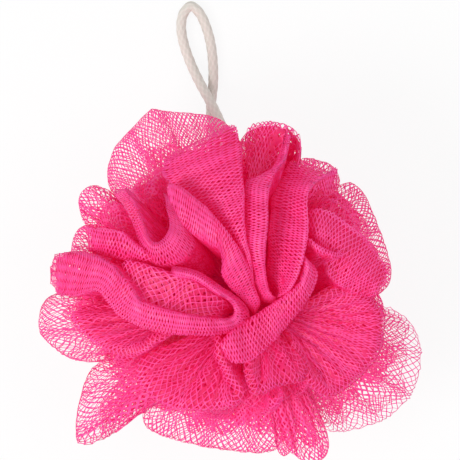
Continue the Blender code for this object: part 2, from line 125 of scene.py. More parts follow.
# Inner layers, rings and core: the size of their cells, and the largest share of a cell that opens at rim and root
LINING_SHARE = 0.98
LINING_CELL = (2.7, 3.9)
EDGE_LINING_CELL = (2.7, 3.3)
RING_CELL = (2.7, 3.9)
CORE_CELLS = ((3.6, 4.2), (3.6, 4.4))
CORE_SHARES = (1.0, 0.94)
RUFFLE_LINING_OPEN = (0.4, 0.4)
LOBE_LINING_OPEN = (0.45, 0.35)
EDGE_FOLD_OPEN = (1.0, 0.6)
EDGE_LAYER_OPEN = (1.0, 0.7)
EDGE_LINING_OPEN = (0.88, 0.5)
EDGE_LINING_SWAY = 0.045

# The ruffles down the ball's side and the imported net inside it
SIDE_COUNT = 19
SIDE_CELL = (2.0, 3.4)
SIDE_MIDDLE = 40.0
SIDE_HALF = 33.0
SIDE_REACH = 57.0
SIDE_ROUND = 0.80
SIDE_ROUND_UP = 0.36
SIDE_BAND = 7.0
SIDE_DROP = 3.0
SIDE_ROOT = 0.70
CORE_SIZE = np.array([50.0, 47.0, 30.0])
CORE_PLEATS = 11
CORE_END = 0.97

# The cord
CORD_DIAMETER = 4.0
BRAID_SIDES = 28
BRAID_STRANDS = 12
BRAID_PITCH = 3.8
BRAID_DEPTH = 0.30
WRAP_TURNS = 2
WRAP_RADIUS = 9.9
WRAP_RISE = 3.4
KNOT_SHARE = 0.8

# Colours, then how the dye, the roughness and the light vary: NET_SCALES and CORD_SCALES are for its patches and
# flecks, a roughness has its change and its least, and a lamp its name, place, size and power
PINK = (1.0, 0.070, 0.41)
# Pale pink: random paler patches of the dye, and a painted highlight on sharp folds
PALE_PATCH_AND_HIGHLIGHT_PINK = (1.0, 0.17, 0.52)
# Deep pink: painted shade towards a cell's middle, as if seen into the shaded layers beneath
HOLE_SHADE_PINK = (0.84, 0.004, 0.09)
SHADED_PINK = (0.80, 0.009, 0.105)
GLOW_PINK = (1.0, 0.0, 0.13)
GLOW = 0.13
INNER_GLOW = 0.11
CREAM = (0.86, 0.825, 0.765)
# The cord's groove colour: painted shade where its strands go under
CREAM_GROOVE_SHADE = (0.67, 0.635, 0.58)
THROUGH_SHARE = 0.3
STRAND_SHARPNESS = 4.4
PATCH_SHARE = 0.6
FOLD_HIGHLIGHT_SHARE = 0.7
NET_ROUGHNESS = (0.3, 0.28)
CORD_ROUGHNESS = (0.2, 0.7)
NET_SCALES = (45.0, 900.0)
CORD_SCALES = (120.0, 2600.0)
FLOOR_WHITE = 0.88
WORLD_LIGHT = 0.62
LAMPS = (
    ("key_light", (-0.75, -0.4, 1.0), 0.6, 9.2),
    ("fill_light", (0.7, 0.2, 0.9), 0.9, 2.4),
)
LAMP_AIM = (0, 0, 0.04)

# The camera, straight above: a pixel is PIXEL_SIZE millimetres wide at FRAMED_HEIGHT
IMAGE_PIXELS = 460
PIXEL_SIZE = 0.38
CAMERA_PLACE = (-0.38, 20.33)
CAMERA_HEIGHT = 3.0
FRAMED_HEIGHT = 0.045
SENSOR_WIDTH = 36

# Ruffles on the top of the ball, each a band between two lines: name, crown (share of the dome's rise), drop of the
# outer line, bulge between them, how far its two ends dive, cell size along and across, points of the crest and of
# the outer line
RUFFLES = (
    ("trough_left", 1.00, 6.0, 1.2, (0.0, 0.4), (1.0, 4.3),
        ((22, 56), (21, 51), (20, 46), (17, 42), (15, 37), (14, 31), (14, 23), (13, 13), (13, 6),
         (14, -1), (16, -4), (19, -5)),
        ((21, 59), (19, 52), (16, 44), (10, 40), (6, 38), (5, 31), (5, 23), (5, 14), (7, 5), (9, -2),
         (12, -6), (19, -7))),
    ("trough_right", 1.00, 12.0, -1.0, (0.1, 0.4), (1.1, 4.2),
        ((40, 44), (35, 40), (31, 37), (29, 32), (29, 23), (28, 14), (26, 6), (23, -1), (19, -5)),
        ((27, 49), (22, 46), (19, 40), (16, 34), (16, 27), (15, 19), (15, 12), (14, 4), (16, -3))),
    ("centre_ruffle", 0.98, 10.0, 2.5, (0.12, 0.4), (1.25, 3.6),
        ((-3, 62), (1, 59), (3, 52), (4, 43), (5, 33), (5, 25), (6, 17), (8, 9), (9, 1), (11, -6)),
        ((-22, 53), (-25, 46), (-25, 40), (-18, 33), (-11, 26), (-5, 19), (1, 12), (5, 4), (8, -3),
         (10, -7))),
    ("slant_ruffle", 1.00, 4.0, 1.2, (0.2, 0.4), (1.0, 4.3),
        ((-27, 37), (-24, 38), (-19, 36), (-14, 32), (-9, 28), (-5, 24), (0, 18), (4, 12), (7, 6),
         (9, -1), (11, -7), (10, -10)),
        ((-27, 34), (-24, 29), (-20, 24), (-14, 19), (-9, 16), (-4, 13), (-3, 9), (-3, 4), (0, -1),
         (4, -5), (7, -9), (9, -13))),
    ("pocket_ruffle", 0.97, 6.0, 1.0, (0.2, 0.2), (1.0, 4.3),
        ((-28, 37), (-25, 33), (-24, 28), (-23, 23), (-24, 19), (-27, 16), (-30, 16), (-32, 19),
         (-34, 24), (-36, 29), (-39, 34), (-43, 39)),
        ((-24, 36), (-20, 30), (-16, 23), (-14, 16), (-17, 10), (-23, 8), (-29, 8), (-34, 13), (-37, 21),
         (-40, 28), (-44, 33), (-47, 38))),
    ("long_ruffle", 1.00, 4.0, 2.0, (0.03, 0.4), (1.0, 4.3),
        ((-69, 4.5), (-67.5, 9.5), (-61.5, 12), (-53, 11), (-46, 8), (-41, 3), (-37, -2), (-34, -6), (-29, -8),
         (-23, -10), (-14, -12), (-6, -13), (0, -13), (2, -10), (0, -6), (-5, -3), (-13, 2), (-22, 4),
         (-30, 6)),
        ((-69, 3.5), (-68, -0.5), (-64.5, -3.5), (-58, -4), (-51, -2), (-46, -7), (-43, -11), (-36, -15), (-31, -17),
         (-23, -19), (-14, -19), (-4, -19), (4, -17), (7, -12), (4, -6), (-3, -1), (-12, 5), (-22, 8),
         (-29, 10))),
    ("long_dish", 0.93, 1.0, -1.5, (0.3, 0.4), (2.6, 3.0),
        ((-46, 9), (-38, 9), (-30, 7), (-22, 4), (-13, 1), (-5, -4), (0, -8)),
        ((-46, 1), (-40, -3), (-34, -7), (-27, -10), (-20, -12), (-13, -13), (-5, -14))),
    ("hook_ruffle", 0.99, 3.0, 1.6, (0.15, 0.3), (1.25, 3.8),
        ((-5, -24), (-2, -20), (3, -16), (9, -12), (15, -8), (21, -4), (26, 1), (28, 8), (29, 14)),
        ((-4, -26), (0, -30), (6, -29), (11, -26), (17, -21), (23, -14), (28, -7), (32, 1), (34, 10))),
    ("top_bowl", 0.90, 12.0, -2.0, (0.1, 0.3), (1.7, 3.2),
        ((5, 57), (9, 59), (15, 60), (21, 59), (25, 56), (27, 52), (27, 47)),
        ((6, 35), (8, 39), (11, 41), (14, 43), (17, 45), (19, 49), (21, 52))),
    ("left_leaf", 0.92, 5.0, 2.0, (0.15, 0.4), (1.2, 3.8),
        ((-57, 21), (-47, 20), (-41, 19), (-36, 15), (-30, 11)),
        ((-56, 13), (-48, 11), (-42, 10), (-37, 9), (-31, 8))),
    ("right_top_leaf", 0.95, 7.0, 1.5, (0.3, 0.25), (1.2, 3.6),
        ((31, 37), (35, 40), (39, 43), (41, 42)),
        ((30, 32), (35, 33), (39, 35), (42, 40))),
    ("right_ruffle", 0.93, 6.0, 3.0, (0.3, 0.15), (1.3, 3.6),
        ((29, 29), (35, 28), (43, 23), (49, 18), (54, 12), (58, 6), (59, -2)),
        ((30, 20), (32, 12), (35, 7), (38, 2), (43, -2), (49, -5), (54, -8))),
    ("right_pocket", 0.97, 3.0, 0.8, (0.3, 0.3), (1.1, 3.8),
        ((29, 19), (32, 15), (36, 13), (40, 12), (41, 15)),
        ((30, 15), (32, 12), (36, 10), (41, 10), (44, 14))),
)

# Lobes on the top of the ball: name, crown, half width, belly, cell size, rim points
UPPER_FOLDS = (
    ("left_lobe", 0.76, 2.0, 4.0, (1.6, 3.4), (
        (-24, -18), (-30, -21), (-36, -25), (-42, -26), (-48, -24), (-54, -20), (-60, -14), (-64, -8))),
    ("lower_left_lobe", 0.80, 2.2, 3.5, (2.1, 3.0), (
        (-7, -21), (-4, -30), (0, -38), (2, -42), (0, -45), (-5, -47), (-16, -47.5), (-25, -46), (-34, -39),
        (-40, -30))),
    ("lower_lobe", 0.79, 2.0, 3.0, (1.8, 3.2), (
        (5, -32), (8, -41), (12, -41), (20, -38), (27, -37), (31, -33))),
    ("right_lobe", 0.80, 2.0, 5.0, (1.7, 3.4), (
        (26, -36), (31, -39), (38, -43), (44, -40), (50, -35), (56, -27), (58, -17), (57, -10), (50, -2), (43, 1))),
)

# Lobes round the edge: name, half width, belly, how far out the inner layer reaches, cell size, rim points (x, y, z)
EDGE_FOLDS = (
    ("edge_top_left", 3.0, 3.0, 0.82, (1.6, 2.3), (
        (-46, 31, 54), (-48, 40, 50), (-45, 51, 46), (-38, 59, 42), (-31, 66, 40), (-30, 66, 40), (-24, 65, 39),
        (-14, 64, 39), (-5, 63, 41), (3, 61, 44))),
    ("edge_top", 3.0, 2.0, 0.90, (2.0, 2.8), ((3, 55, 60), (9, 58, 57), (15, 59, 55), (21, 56, 56), (26, 49, 58))),
    ("edge_top_right", 3.0, 2.0, 0.88, (2.0, 2.8), ((25, 49, 46), (33, 47, 43), (40, 44, 43), (43, 38, 46))),
    ("edge_right", 3.0, 3.0, 0.85, (2.0, 2.8), (
        (41, 39, 50), (46, 39, 47), (51, 34, 45), (55, 24, 41), (59, 12, 40), (61, 2, 42), (60, -5, 47))),
    ("edge_lower_right", 3.0, 3.5, 0.80, (2.4, 3.0), (
        (57, -6, 42), (68, -14, 38), (73, -24, 36), (72, -36, 35), (67, -45, 35), (58, -52, 36), (45, -56, 39),
        (37, -57, 43), (32, -54, 47))),
    ("edge_bottom_tab", 2.0, 0.8, 0.84, (2.0, 2.8), (
        (37, -54, 49), (37, -64, 46), (31, -68, 45), (25, -65, 46), (23, -56, 47))),
    ("edge_bottom_loop", 1.2, 0.6, 0.86, (1.8, 2.6), (
        (25, -50, 49), (24, -61, 46), (20, -65, 45), (17, -61, 46), (18, -52, 48))),
    ("edge_bottom", 3.0, 3.0, 0.87, (2.2, 2.9), (
        (24, -54, 38), (16, -63, 33), (0, -63, 32), (-15, -61, 33), (-29, -57, 35), (-34, -52, 37), (-33, -45, 42))),
    ("edge_corner", 2.5, 2.0, 0.84, (2.2, 3.0), (
        (-45, -30, 50), (-53, -33, 47), (-57, -43, 43), (-59, -52, 40), (-59, -60, 38), (-58, -61, 38),
        (-51, -59, 38), (-41, -54, 40), (-31, -50, 44))),
    ("edge_left", 3.0, 2.5, 0.83, (2.1, 2.9), (
        (-62, -2, 52), (-69, -5, 49), (-72, -11, 46), (-72, -18, 43), (-67, -24, 42), (-59, -29, 42),
        (-48, -31, 45))),
    ("edge_left_tab", 2.0, 0.8, 0.86, (1.9, 2.7), (
        (-53, 22, 58), (-57, 26, 55), (-58, 33, 54), (-54, 37, 55), (-48, 35, 57))),
    ("edge_left_fold", 2.0, 0.8, 0.88, (1.9, 2.7), ((-60, 7, 58), (-60, 14, 55), (-58, 20, 54), (-53, 24, 56))),
)

# Rings of folds: name, bulb, count, rim radius, rim height, half width in degrees, slant, sway, fold half width
FOLD_RINGS = (
    ("shoulder", 1, 8, 51.0, 54.0, 26.0, 5.0, 3.0, 4.0),
    ("waist", 1, 8, 53.0, 43.0, 26.0, 6.0, 3.0, 4.0),
    ("skirt", -1, 8, 53.0, 27.0, 25.0, 6.0, 3.5, 4.0),
    ("under", -1, 6, 47.0, 13.0, 31.0, 4.0, 3.0, 4.0),
    ("foot", -1, 3, 38.0, 4.0, 56.0, 2.0, 2.0, 3.0),
)

# The cord's route from the knot round the hanging loop and back
CORD_ROUTE = (
    (11.5, 13.5, 46.0), (9.5, 22.0, 42.0), (6.5, 34.0, 35.0), (2.5, 46.0, 27.0), (-1.8, 56.0, 19.5),
    (-5.2, 64.0, 13.5), (-8.4, 70.5, 9.0), (-11.9, 76.8, 5.2), (-15.3, 84.0, 2.8), (-18.0, 91.5, 2.4),
    (-19.2, 98.2, 2.4), (-18.4, 103.6, 2.4), (-15.4, 106.6, 2.4), (-12.1, 103.9, 2.4), (-9.6, 98.7, 2.4),
    (-7.8, 92.0, 2.4), (-6.9, 84.0, 2.4), (-6.9, 76.5, 2.6), (-7.5, 70.5, 3.4), (-7.6, 64.0, 6.0),
    (-6.0, 55.0, 12.0), (-2.5, 45.0, 20.0), (1.5, 34.0, 29.5), (4.5, 22.0, 39.0), (6.5, 13.5, 46.0),
)

# What each knitted net was cut to, kept until it is part of a piece
NET_SIZES = {}


def curve(points):
    """A smooth curve through the given points, with CURVE_STEPS steps from each point to the next."""
    p = np.array(points, float)
    p = np.vstack([2 * p[0] - p[1], p, 2 * p[-1] - p[-2]])
    u = np.linspace(0, 1, CURVE_STEPS, endpoint=False)[:, None]
    fine = [0.5 * (2 * b + (c - a) * u + (2 * a - 5 * b + 4 * c - d) * u**2 + (3 * b - a - 3 * c + d) * u**3)
            for a, b, c, d in zip(p, p[1:], p[2:], p[3:])]
    return np.vstack([*fine, p[-2][None]])


def way_along(line):
    """How far each point of a line is along it."""
    return np.concatenate([[0], np.cumsum(np.linalg.norm(np.diff(line, axis=0), axis=1))])


def points_at(at, reached, line):
    """The points of a line at the given places, where reached says the place of each of its own points."""
    return np.stack([np.interp(at, reached, line[:, k]) for k in range(3)], axis=1)


def smooth_line(points, count):
    """count points, evenly spaced along a smooth curve through the given points."""
    fine = curve(points)
    reached = way_along(fine)
    return points_at(np.linspace(0, reached[-1], count), reached, fine)


def dome_height(x, y):
    """The height of the ball's top over a point: a dome with a dimple over the tied waist."""
    share = np.maximum(0.0, 1.0 - (x * x + y * y) / DOME_RADIUS**2)
    away = np.hypot(x - WAIST[0], y - WAIST[1]) / DIMPLE_RADIUS
    return DOME_BASE + DOME_RISE * np.sqrt(share) - DIMPLE_DEPTH * np.exp(-away * away)


def crumpled(points):
    """Where the rim points on the ball's side move to when the ball is crumpled."""
    bearing = np.arctan2(points[:, 1], points[:, 0])
    fade = np.clip(points[:, 2] / CRUMPLE_FADE, 0, 1)
    rise = CRUMPLE_RISE * (np.sin(CRUMPLE_WAVES * bearing + 0.5) + 0.5 * np.sin(3 * bearing + 2.0)) / 1.5
    moved = points.copy()
    moved[:, 2] += rise * fade
    return moved


def ring_line(bearing, k, radius, height, half_width, slant, sway, count):
    """The rim line of one fold of a ring: an arc that slants across and sways in and out."""
    turn = 2.4 * k
    across = np.linspace(-1, 1, count)
    angle = np.radians(bearing + across * half_width)
    angle = angle + math.radians(CRUMPLE_TURN) * np.sin(2 * angle + 0.8)
    reach = radius * (1 - 0.14 * across**2) + sway * np.sin(turn + 3.2 * across)
    rise = slant * (across + 0.35 * np.sin(turn + 4.0 * across))
    line = np.stack([reach * np.cos(angle), reach * np.sin(angle) * RING_SQUASH_Y, height + rise], axis=1)
    return crumpled(line)


def lay_fold(line, side, width, belly, root):
    """The frame of one fold: its rim line, the spokes to it from the tied waist, and its sideways directions."""
    centre = WAIST + np.array([0, 0, side * FAN_HEIGHT])
    place = np.linspace(-1, 1, len(line))
    ahead = np.gradient(line, axis=0)
    normal = np.cross(ahead, line - centre)
    normal /= np.linalg.norm(normal, axis=1)[:, None]
    for i in range(1, len(normal)):
        if normal[i] @ normal[i - 1] < 0:
            normal[i] *= -1
    if normal[:, 2].sum() * side < 0:
        normal *= -1
    rim = centre + (line - centre) * (1 - END_DIVE * place**8)[:, None]
    length = np.linalg.norm(rim - centre, axis=1)
    return {
        "centre": centre, "spoke": (rim - centre) / length[:, None], "normal": normal, "length": length,
        "width": width * (1 - 0.6 * place**6), "belly": belly, "root": root, "place": place,
        "span": float(np.linalg.norm(np.diff(rim, axis=0), axis=1).sum()),
    }


def along(fold, key, s):
    """A fold's value or direction at the share s of its rim."""
    value, at = fold[key], (fold["place"] + 1) / 2
    if value.ndim == 1:
        return np.interp(s, at, value)
    return points_at(s, at, value)


def fold_points(fold, s, t, phase):
    """Points of a fold's net: s runs along its rim, t from the root of one layer (-1) over the rim to the other (1)."""
    spoke, normal = along(fold, "spoke", s), along(fold, "normal", s)
    length, width = along(fold, "length", s), along(fold, "width", s)
    wall = np.maximum(length - width - fold["root"], 1.0)
    arc = math.pi / 2 * width
    round_share = arc / (arc + wall)
    turn = np.clip(np.abs(t) / round_share, 0, 1) * math.pi / 2
    down = np.clip((np.abs(t) - round_share) / (1 - round_share), 0, 1)
    out = np.where(down > 0, fold["root"] + wall * (1 - down), length - width + width * np.cos(turn))
    half_gap = np.where(down > 0, width * (1 - down) ** 0.8, width * np.sin(turn)) + LAYER_GAP
    aside = np.sign(t) * half_gap
    share = out / length
    gathers = fold["span"] / GATHER_PITCH
    crease = np.sin(2 * math.pi * gathers * s + phase + 1.3 * np.sin(3.1 * s * math.pi + phase))
    crease += 0.5 * np.sin(2 * math.pi * gathers * 1.7 * s + 2 * phase + 2.0 * share)
    aside = aside + GATHER_DEPTH * crease * share * (1.15 - share) * 2
    aside = aside + fold["belly"] * np.sin(math.pi * share)
    return fold["centre"] + spoke * out[:, None] + normal * aside[:, None]


def top_line(points, crown, sunk=0.0, count=None):
    """A line over the ball's top through points given from above: count points, or all those of its curve."""
    points = [(x, y, 0) for x, y in points]
    line = smooth_line(points, count) if count else curve(points)
    line[:, 2] = DOME_BASE + crown * (dome_height(line[:, 0], line[:, 1]) - DOME_BASE) - sunk
    return line


def lay_ruffle(crest, outer, facing, bulge, dives, root_share):
    """The frame of one ruffle: its band from the crest to the outer line, and two walls down to its root."""
    reached = way_along((crest + outer) / 2)
    at = np.linspace(0, reached[-1], RUFFLE_COLUMNS)
    crest, outer, facing = (points_at(at, reached, line) for line in (crest, outer, facing))
    aside = outer - crest
    aside -= facing * (aside * facing).sum(axis=1)[:, None]
    aside /= np.linalg.norm(aside, axis=1)[:, None]
    root = WAIST + ((crest + outer) / 2 - WAIST) * root_share
    place = np.linspace(-1, 1, len(crest))[:, None]
    dive = np.where(place < 0, dives[0], dives[1]) * place**10
    crest, outer = crest + (root - crest) * dive, outer + (root - outer) * dive
    section = [
        root,
        crest * WALL_SHARE + root * (1 - WALL_SHARE) - aside * 0.3 - facing,
        crest - aside * 0.5 - facing * UNDERCUT,
        crest - aside * 0.1 - facing * EDGE_ROUND,
        crest + aside * EDGE_ROUND,
        (crest + outer) / 2 + facing * bulge,
        outer - aside * EDGE_ROUND,
        outer + aside * 0.1 - facing * 0.6,
        outer * WALL_SHARE + root * (1 - WALL_SHARE) - facing,
        root]
    return {"section": np.array(section), "span": float(reached[-1]), "facing": facing,
            "edges": np.vstack([crest[::2], outer[::2]])}


def side_lines(bearing, chance):
    """The crest and the outer line of one ruffle that winds down the ball's side, and the way it faces."""
    down = np.linspace(-1, 1, SIDE_POINTS)
    lean, bow, turn = chance.uniform(-9, 9), chance.uniform(5, 10), chance.uniform(0, 6.3)
    angle = np.radians(bearing + lean * down + bow * np.sin(2.7 * down + turn))
    round_off = np.where(down < 0, SIDE_ROUND, SIDE_ROUND_UP)
    reach = (SIDE_REACH + chance.uniform(-3, 1)) * np.sqrt(1 - (round_off * down) ** 2)
    reach = reach + 1.5 * np.sin(3.4 * down + 2 * turn)
    height = SIDE_MIDDLE + chance.uniform(-3, 3) + SIDE_HALF * down
    lines = []
    for turned, sunk in ((0.0, 0.0), ((SIDE_BAND + chance.uniform(-1.5, 1.5)) / reach, SIDE_DROP)):
        out, way = reach - sunk, angle + turned
        lines.append(np.stack([out * np.cos(way), out * np.sin(way) * RING_SQUASH_Y, height], axis=1))
    facing = (lines[0] + lines[1]) / 2 - np.array([0, 0, SIDE_MIDDLE])
    return *lines, facing / np.linalg.norm(facing, axis=1)[:, None]


def core_points(s, t, share, phase):
    """Points of the net that is packed inside the ball: a pleated shell round the waist."""
    across, along_turn = t * math.pi / 2 * CORE_END, 2 * math.pi * s
    pleat = 1 + 0.07 * np.sin(CORE_PLEATS * along_turn + phase + 2 * np.sin(2 * across))
    pleat += 0.035 * np.sin(1.9 * CORE_PLEATS * along_turn - 3 * across + 2 * phase)
    reach = share * pleat
    return np.stack([
        CORE_SIZE[0] * reach * np.cos(across) * np.cos(along_turn),
        CORE_SIZE[1] * reach * np.cos(across) * np.sin(along_turn),
        SIDE_MIDDLE + CORE_SIZE[2] * reach * np.sin(across)], axis=1)


def ruffle_points(ruffle, s, t, phase):
    """Points of a ruffle's net: s runs along it, t from the root up the inner wall, over the band and down again."""
    section, count = ruffle["section"], ruffle["section"].shape[1]
    rows = np.array([smooth_line(section[:, i], SECTION_STEPS + 1) for i in range(count)])
    column = np.clip(s, 0, 1) * (count - 1)
    low = np.minimum(column.astype(int), count - 2)
    part = (column - low)[:, None]
    place = np.clip((t + 1) / 2, 0, 1) * SECTION_STEPS
    base = np.minimum(place.astype(int), SECTION_STEPS - 1)
    share = (place - base)[:, None]
    points = ((rows[low, base] * (1 - part) + rows[low + 1, base] * part) * (1 - share)
              + (rows[low, base + 1] * (1 - part) + rows[low + 1, base + 1] * part) * share)
    along_wave = np.sin(2 * math.pi * ruffle["span"] / GATHER_PITCH * s + phase + 1.5 * np.sin(5 * s + phase))
    lift = 0.35 * GATHER_DEPTH * along_wave * (1 - np.abs(t) ** 2)
    return points + ruffle["facing"][low] * lift[:, None]


def crease_field(points):
    """A slow uneven drift of the whole ball, so that no fold is quite regular."""
    drift = np.zeros_like(points)
    for wave, push, phase in DRIFT_WAVES:
        drift += np.sin(points @ np.array(wave) + phase)[:, None] * np.array(push)
    return points + drift * np.array(DRIFT)


def hole_share(face, most):
    """How far a cell opens between the strands round it, as a share of the cell, or 0 where it stays closed."""
    if len(face.verts) != 4 or most <= 0:
        return 0.0
    a, b, c, d = (v.co for v in face.verts)
    one, other = (a - c).length, (b - d).length
    if min(one, other) < CLOSED_CELL * MM:
        return 0.0
    inside = one * other / (2 * math.hypot(one, other))
    return min(max(1 - STRAND_WIDTH / 2 * MM / inside, LEAST_HOLE), most)


def sharpness(places, edges):
    """How near each place is to the points of a sharp fold: 1 on it and 0 from EDGE_REACH on."""
    if edges is None:
        return np.zeros(len(places))
    places = places / MM - SHIFT
    away = np.min([((places - edge) ** 2).sum(axis=1) for edge in edges], axis=0)
    return np.clip(1 - np.sqrt(away) / EDGE_REACH, 0, 1)


def cut_size(net, span, across):
    """Keeps a net's length and width in millimetres, and how many square millimetres its strands cover."""
    covered = sum(face.calc_area() for face in net.faces) / MM**2
    NET_SIZES[net] = (span, across, covered)
    return net


def diamond_grid(columns, rows):
    """A flat net of diamond cells from -1 to 1 each way, with the cells counted in its UV map."""
    net = bmesh.new()
    net.loops.layers.uv.new("knit")
    bmesh.ops.create_grid(net, x_segments=columns, y_segments=rows, size=1.0, calc_uvs=True)
    lines = list(net.edges)
    bmesh.ops.poke(net, faces=net.faces)
    bmesh.ops.dissolve_edges(net, edges=[e for e in lines if len(e.link_faces) == 2])
    uv = net.loops.layers.uv.active
    for face in net.faces:
        for loop in face.loops:
            loop[uv].uv = (loop[uv].uv.x * columns, loop[uv].uv.y * rows)
    return net


def split_rim_cells(net, rim):
    """Runs a strand along the rim: the cells that lie across it become two, and both halves are given back."""
    halves = set()
    for face in list(net.faces):
        ends = [vertex for vertex in face.verts if vertex in rim]
        if len(face.verts) == 4 and len(ends) == 2:
            half, _ = bmesh.utils.face_split(face, *ends)
            halves |= {face, half}
    return halves


def open_cells(net, holes):
    """Cuts a hole in each cell, smaller than the cell by its share, with the strands rounded down towards it."""
    bmesh.ops.inset_individual(net, faces=list(holes), thickness=0.0, use_interpolate=False)
    for face, share in holes.items():
        middle, away = face.calc_center_median(), face.normal * STRAND_DEPTH * MM
        for vertex in face.verts:
            vertex.co = middle + (vertex.co - middle) * share - away
    bmesh.ops.delete(net, geom=list(holes), context="FACES_ONLY")


def knit(span, across, cell, placed, inner=1.0, sway=0.0, edges=None, most=(1.0, 1.0), cut_edge=False,
         rim_strand=False):
    """A net of open cells between strands, in a bmesh: placed turns its shares along and across into points.

    inner draws it in towards the waist, by more and less along it by the share sway. edges are the points where it
    is folded sharp and drawn tight. most is the largest share of a cell that opens, at its rim and at its root. A cut
    edge ends in the points of its last cells, and a rim strand runs all along the rim.
    """
    columns, rows = max(LEAST_COLUMNS, round(span / cell[0])), 2 * max(3, round(across / cell[1] / 2))
    chance = np.random.default_rng(columns * 1000 + rows)
    net = diamond_grid(columns, rows)
    grid = np.array([v.co for v in net.verts])
    calm_ends, calm_roots = 1 - grid[:, 0] ** 2, 1 - grid[:, 1] ** 2
    along_share = (grid[:, 0] + 1) / 2
    depth, wave = ALONG_UNEVEN
    along_share = along_share + depth / columns * np.sin(along_share * span / wave + columns) * calm_ends
    from_rim = np.minimum(1, np.abs(grid[:, 1]) * rows / RIM_ROWS)
    depth, wave, slant = ACROSS_UNEVEN
    uneven = np.sin(grid[:, 1] * across / wave + slant * along_share) * from_rim * calm_roots
    places = crease_field(placed(along_share, grid[:, 1] + depth / rows * uneven))
    slow, fast = (along_share * span / wave for wave in SWAY_WAVES)
    drawn = inner + sway * np.sin(slow + columns) + 0.6 * sway * np.sin(fast)
    shift = cell[0] * STRAND_SHIFT * np.where(from_rim < 1.2 / RIM_ROWS, RIM_SHIFT, 1.0)[:, None]
    places = WAIST + (places - WAIST) * drawn[:, None] + shift * chance.uniform(-1, 1, places.shape)
    places = (places + SHIFT) * MM
    places[:, 2] = np.maximum(places[:, 2], LEAST_HEIGHT * MM)
    for vertex, place in zip(net.verts, places):
        vertex.co = place
    if cut_edge:
        bmesh.ops.delete(net, geom=[face for face in net.faces if len(face.verts) == 3], context="FACES")
    halves = set()
    if rim_strand:
        halves = split_rim_cells(net, {v for v, y in zip(net.verts, grid[:, 1]) if abs(y) < 0.25 / rows})
    near = sharpness(np.array([face.calc_center_median() for face in net.faces]), edges)
    uv = net.loops.layers.uv.active
    holes = {}
    for face, tight in zip(net.faces, near):
        row_share = sum(loop[uv].uv.y for loop in face.loops) / len(face.loops) / rows
        down = min(1.0, (1 - row_share if cut_edge else abs(2 * row_share - 1)) / FADE_SHARE)
        limit = most[0] + (most[1] - most[0]) * down
        if face in halves:
            share = max(0.0, 1 - STRAND_WIDTH / 2 * MM * face.calc_perimeter() / 2 / face.calc_area())
        else:
            share = hole_share(face, min(limit, EDGE_MOST) if tight > 0 else limit)
        if share:
            holes[face] = share
    open_cells(net, holes)
    # How near each point is to a sharp fold, which the material turns into a painted highlight
    sharp = net.verts.layers.float.new("sharp")
    for vertex, tight in zip(net.verts, sharpness(np.array([vertex.co for vertex in net.verts]), edges)):
        vertex[sharp] = tight
    return cut_size(net, span, across)


def knit_fold(fold, cell, phase, inner=1.0, **how):
    """Both layers of a fold's net, from root to root over its rim."""
    across = 2 * (float(fold["length"].mean()) - fold["root"] + (math.pi / 2 - 1) * float(fold["width"].mean()))
    return knit(fold["span"], across, cell, lambda s, t: fold_points(fold, s, t, phase), inner, **how)


def knit_layer(fold, cell, phase, inner=1.0, **how):
    """One layer of net up to a fold's rim, where it ends in a cut edge."""
    across = float(fold["length"].mean()) - fold["root"]
    return knit(fold["span"], across, cell, lambda s, t: fold_points(fold, s, (1 - t) / 2, phase), inner,
                cut_edge=True, **how)


def knit_ruffle(ruffle, cell, phase, inner=1.0, **how):
    """A ruffle's net, from its root up one wall, over its band and down the other."""
    middle = smooth_line(ruffle["section"][:, ruffle["section"].shape[1] // 2], 60)
    across = float(np.linalg.norm(np.diff(middle, axis=0), axis=1).sum())
    return knit(ruffle["span"], across, cell, lambda s, t: ruffle_points(ruffle, s, t, phase), inner, **how)


def knit_core(share, cell, phase, **how):
    """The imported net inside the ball, at a share of its full size."""
    span, across = 2 * math.pi * CORE_SIZE[0] * share, math.pi * CORE_SIZE[1] * share * 0.8
    return knit(span, across, cell, lambda s, t: core_points(s, t, share, phase), **how)


def piece_of(name, nets, material):
    """One piece from several knitted folds; the sizes of their nets are dropped from NET_SIZES."""
    sizes = [NET_SIZES.pop(net) for net in nets]
    mesh = bpy.data.meshes.new(name)
    whole = bmesh.new()
    for net in nets:
        net.to_mesh(mesh)
        whole.from_mesh(mesh)
        net.free()
    whole.to_mesh(mesh)
    whole.free()
    piece = bpy.data.objects.new(name, mesh)
    bpy.context.scene.collection.objects.link(piece)
    mesh.materials.append(material)
    mesh.shade_smooth()
    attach(piece, "root")
    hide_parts("netting")
    return piece


def new_material(name):
    """A material with its nodes, its links and its shader."""
    material = bpy.data.materials.new(name)
    material.use_nodes = True
    nodes, links = material.node_tree.nodes, material.node_tree.links
    return material, nodes, links, nodes["Principled BSDF"]


def uneven_group():
    """A slow and a fine unevenness of a dyed yarn, each from 0 to 1."""
    group = bpy.data.node_groups.new("uneven_dye", "ShaderNodeTree")
    for name, way in (("Patch", "INPUT"), ("Fleck", "INPUT"), ("Slow", "OUTPUT"), ("Fine", "OUTPUT")):
        group.interface.new_socket(name, in_out=way, socket_type="NodeSocketFloat")
    nodes, links = group.nodes, group.links
    given, out, place = nodes.new("NodeGroupInput"), nodes.new("NodeGroupOutput"), nodes.new("ShaderNodeTexCoord")
    for size, result in (("Patch", "Slow"), ("Fleck", "Fine")):
        noise = nodes.new("ShaderNodeTexNoise")
        noise.inputs["Detail"].default_value = 3.0
        links.new(place.outputs["Object"], noise.inputs["Vector"])
        links.new(given.outputs[size], noise.inputs["Scale"])
        links.new(noise.outputs["Fac"], out.inputs[result])
    return group


def use_group(nodes, group, patch, fleck):
    """The dye's unevenness in a material, with the scales of its patches and its flecks."""
    used = nodes.new("ShaderNodeGroup")
    used.node_tree = group
    used.inputs["Patch"].default_value = patch
    used.inputs["Fleck"].default_value = fleck
    return used


